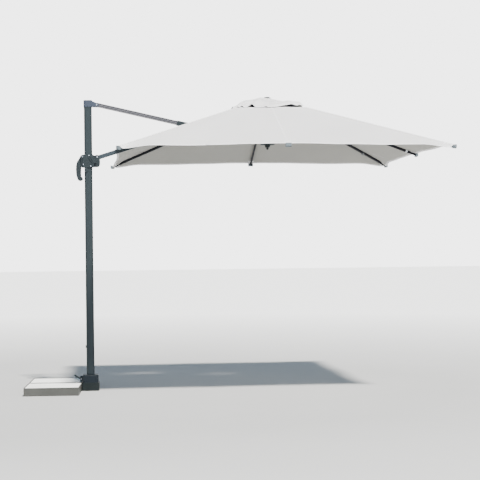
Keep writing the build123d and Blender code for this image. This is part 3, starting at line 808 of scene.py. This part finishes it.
def canopy():
    length = EDGE - VENT
    patch = PATCH / EDGE
    panels = []
    for body, azimuth, stretches in PANELS:
        short = body[4:]
        trim = edge_tapes(short, stretches, length)
        if azimuth % 90:
            side = azimuth - 45
            trim.append(seam_tape(f"seam_{short}", side, 1, SEAM, HEM_LIFT))
            trim.append(tip_patch(f"patch_{short}", ((side, 1 - patch, 1), (side + 90, -1, patch - 1))))
        else:
            trim.append(seam_tape(f"seam_{short}", azimuth, 0, SEAM / 2, HEM_LIFT / 2))
            trim.append(tip_patch(f"patch_{short}", ((azimuth, -patch, patch),)))
        if body == "rib_far_right":
            trim.append(under_seam("tuck_far_right", 0, *TUCK_ENDS))
        name = f"canopy_{short}"
        panels.append(
            cloth_panel(name, canopy_point, body, stretches, CANOPY_ROWS, KEEP, trim)
        )
    for short, y, stretches in BOOM_HALVES:
        trim = edge_tapes(short, stretches, length)
        name, anchor = f"canopy_{short}", (0, y, 0)
        panels.append(
            cloth_panel(
                name, canopy_point, "boom", stretches, CANOPY_ROWS, KEEP, trim
            )
        )
    panels.append(boom_strip(length))
    for panel in panels:
        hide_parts("canopy")


def boom_strip(length):
    """The cloth sewn along the boom, with a bound slot for the strut that opens into the vent."""
    end = HUB.x - VENT
    corners = [(end, -SLOT_HALF), (SLOT, -SLOT_HALF), (SLOT, SLOT_HALF), (end, SLOT_HALF)]
    columns = [slot_binding(*corners[0])]
    for (x0, y0), (x1, y1) in zip(corners, corners[1:]):
        for f in steps(0, 1, BINDING_STEPS)[1:]:
            columns.append(slot_binding(x0 + (x1 - x0) * f, y0 + (y1 - y0) * f))
    trim = [
        tape_solid("slot_binding", columns),
        tape_solid("hem_boom", edge_columns(canopy_point, BOOM_STRIP, length, HEM, True)),
    ]
    name = "canopy_boom"
    return cloth_panel(
        name, canopy_point, "boom", BOOM_STRIP, STRIP_ROWS, 1, trim, in_slot
    )


def in_slot(place):
    return place.x > SLOT and abs(place.y) < SLOT_HALF


def slot_binding(x, y):
    """A section of the slot's binding at one point of its outline: down over the edge and under."""
    end = HUB.x - VENT
    ox = end + (x - end) * (1 + BINDING / (end - SLOT))
    oy = y * (1 + BINDING / SLOT_HALF)
    column = []
    for bx, by, up in ((ox, oy, 0.3), (ox, oy, 1), (x, y, 1.2), (x, y, -1.2), (ox, oy, -1), (ox, oy, -0.3)):
        out = HUB.x - bx
        p = (out - VENT) / (EDGE - VENT)
        column.append(canopy_point(BOOM_SIDE, -by / out, p, up * HEM_LIFT))
    return column


def flap():
    length = FLAP_EDGE - FLAP_INNER
    made = []
    for body, azimuth, stretches in PANELS + (("boom", BOOM_SIDE, BOOM_FLAP),):
        short = body.replace("rib_", "")
        hem = edge_columns(flap_point, stretches, length, HEM * FLAP_HEM, True)
        trim = [tape_solid(f"flap_hem_{short}", hem)]
        name = f"flap_{short}"
        made.append(
            cloth_panel(name, flap_point, body, stretches, FLAP_ROWS, FLAP_KEEP, trim)
        )
    for panel in made:
        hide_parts("vent_flap")


# ---------------------------------------------------------------- studio
CAMERA_PLACE = Vector((-0.017, -14.098, 1.358))
CAMERA_YAW, CAMERA_PITCH, CAMERA_ROLL = (math.radians(a) for a in (6.018, 0.325, -0.655))
CAMERA_LENS = 108.52
KEY_TRAVEL = Vector((-0.23, 0.68, -1.0))
KEY_STRENGTH = 12.0
KEY_SPREAD = 5.0
KEY_COLOUR = (1.0, 0.965, 0.91)
FILL_TRAVEL = Vector((0, 1, -0.02))
FILL_STRENGTH = 2.5
FILL_SPREAD = 50
FILL_COLOUR = (0.60, 0.78, 1.0)
HORIZON = (0.17, 0.26)      # heights between which the backdrop turns from white to cool
BACKDROP_STRENGTH = (4.2, 0.35)
OVERHEAD_COLOUR = (0.45, 0.72, 1.0, 1)
FLOOR_HALF = 80.0
FLOOR_NEAR = [(0.3, (0.40, 0.40, 0.395)), (0.7, (0.42, 0.42, 0.415))]
FLOOR_FAR = (0.92, 0.92, 0.92)
FLOOR_FADE = (3.5, 16.0)    # distances from the mast


def studio():
    camera = bpy.data.cameras.new("camera")
    camera.lens = CAMERA_LENS
    camera.sensor_width = 36
    eye = bpy.data.objects.new("camera", camera)
    bpy.context.scene.collection.objects.link(eye)
    eye.matrix_world = (
        Matrix.Translation(CAMERA_PLACE)
        @ Matrix.Rotation(-CAMERA_YAW, 4, "Z")
        @ Matrix.Rotation(math.radians(90) + CAMERA_PITCH, 4, "X")
        @ Matrix.Rotation(CAMERA_ROLL, 4, "Z")
    )
    bpy.context.scene.camera = eye
    sun("key", KEY_TRAVEL, KEY_STRENGTH, KEY_SPREAD, KEY_COLOUR)
    sun("fill", FILL_TRAVEL, FILL_STRENGTH, FILL_SPREAD, FILL_COLOUR)
    backdrop()
    floor()


def sun(name, travel, strength, spread, colour):
    lamp = bpy.data.lights.new(name, "SUN")
    lamp.energy = strength
    lamp.angle = math.radians(spread)
    lamp.color = colour
    light = bpy.data.objects.new(name, lamp)
    light.rotation_euler = travel.to_track_quat("-Z", "Y").to_euler()
    bpy.context.scene.collection.objects.link(light)


def backdrop():
    """White round the horizon, easing to a soft cool light overhead."""
    world = bpy.data.worlds.new("studio")
    world.use_nodes = True
    tree = world.node_tree
    shade = tree.nodes["Background"]
    coords = tree.nodes.new("ShaderNodeTexCoord")
    split = tree.nodes.new("ShaderNodeSeparateXYZ")
    tree.links.new(coords.outputs["Generated"], split.inputs[0])
    strength = tree.nodes.new("ShaderNodeMapRange")
    strength.interpolation_type = "SMOOTHSTEP"
    for name, value in zip(("From Min", "From Max", "To Min", "To Max"), HORIZON + BACKDROP_STRENGTH):
        strength.inputs[name].default_value = value
    tree.links.new(split.outputs["Z"], strength.inputs["Value"])
    tree.links.new(strength.outputs["Result"], shade.inputs["Strength"])
    tint = tree.nodes.new("ShaderNodeValToRGB")
    for element, place, colour in zip(tint.color_ramp.elements, HORIZON, ((1, 1, 1, 1), OVERHEAD_COLOUR)):
        element.position = place
        element.color = colour
    tree.links.new(split.outputs["Z"], tint.inputs["Fac"])
    tree.links.new(tint.outputs["Color"], shade.inputs["Color"])
    bpy.context.scene.world = world


def floor():
    """A pale floor, a little lighter far away so that it runs into the backdrop."""
    mesh = bpy.data.meshes.new("floor")
    h = FLOOR_HALF
    mesh.from_pydata([(-h, -h, 0), (h, -h, 0), (h, h, 0), (-h, h, 0)], [], [(0, 1, 2, 3)])
    ground = bpy.data.objects.new("floor", mesh)
    bpy.context.scene.collection.objects.link(ground)
    p = Paint("floor")
    away = p.node("VectorMath")
    away.operation = "LENGTH"
    p.join(p.where, away.inputs[0])
    near = p.ramp(p.noise(0.6, 3.0), FLOOR_NEAR)
    p.colour(p.mix(near, FLOOR_FAR, p.spread(away.outputs["Value"], 0, 1, *FLOOR_FADE)))
    p.shader.inputs["Roughness"].default_value = 0.9
    mesh.materials.append(p.mat)


studio()
dress_frame()
canopy()
flap()
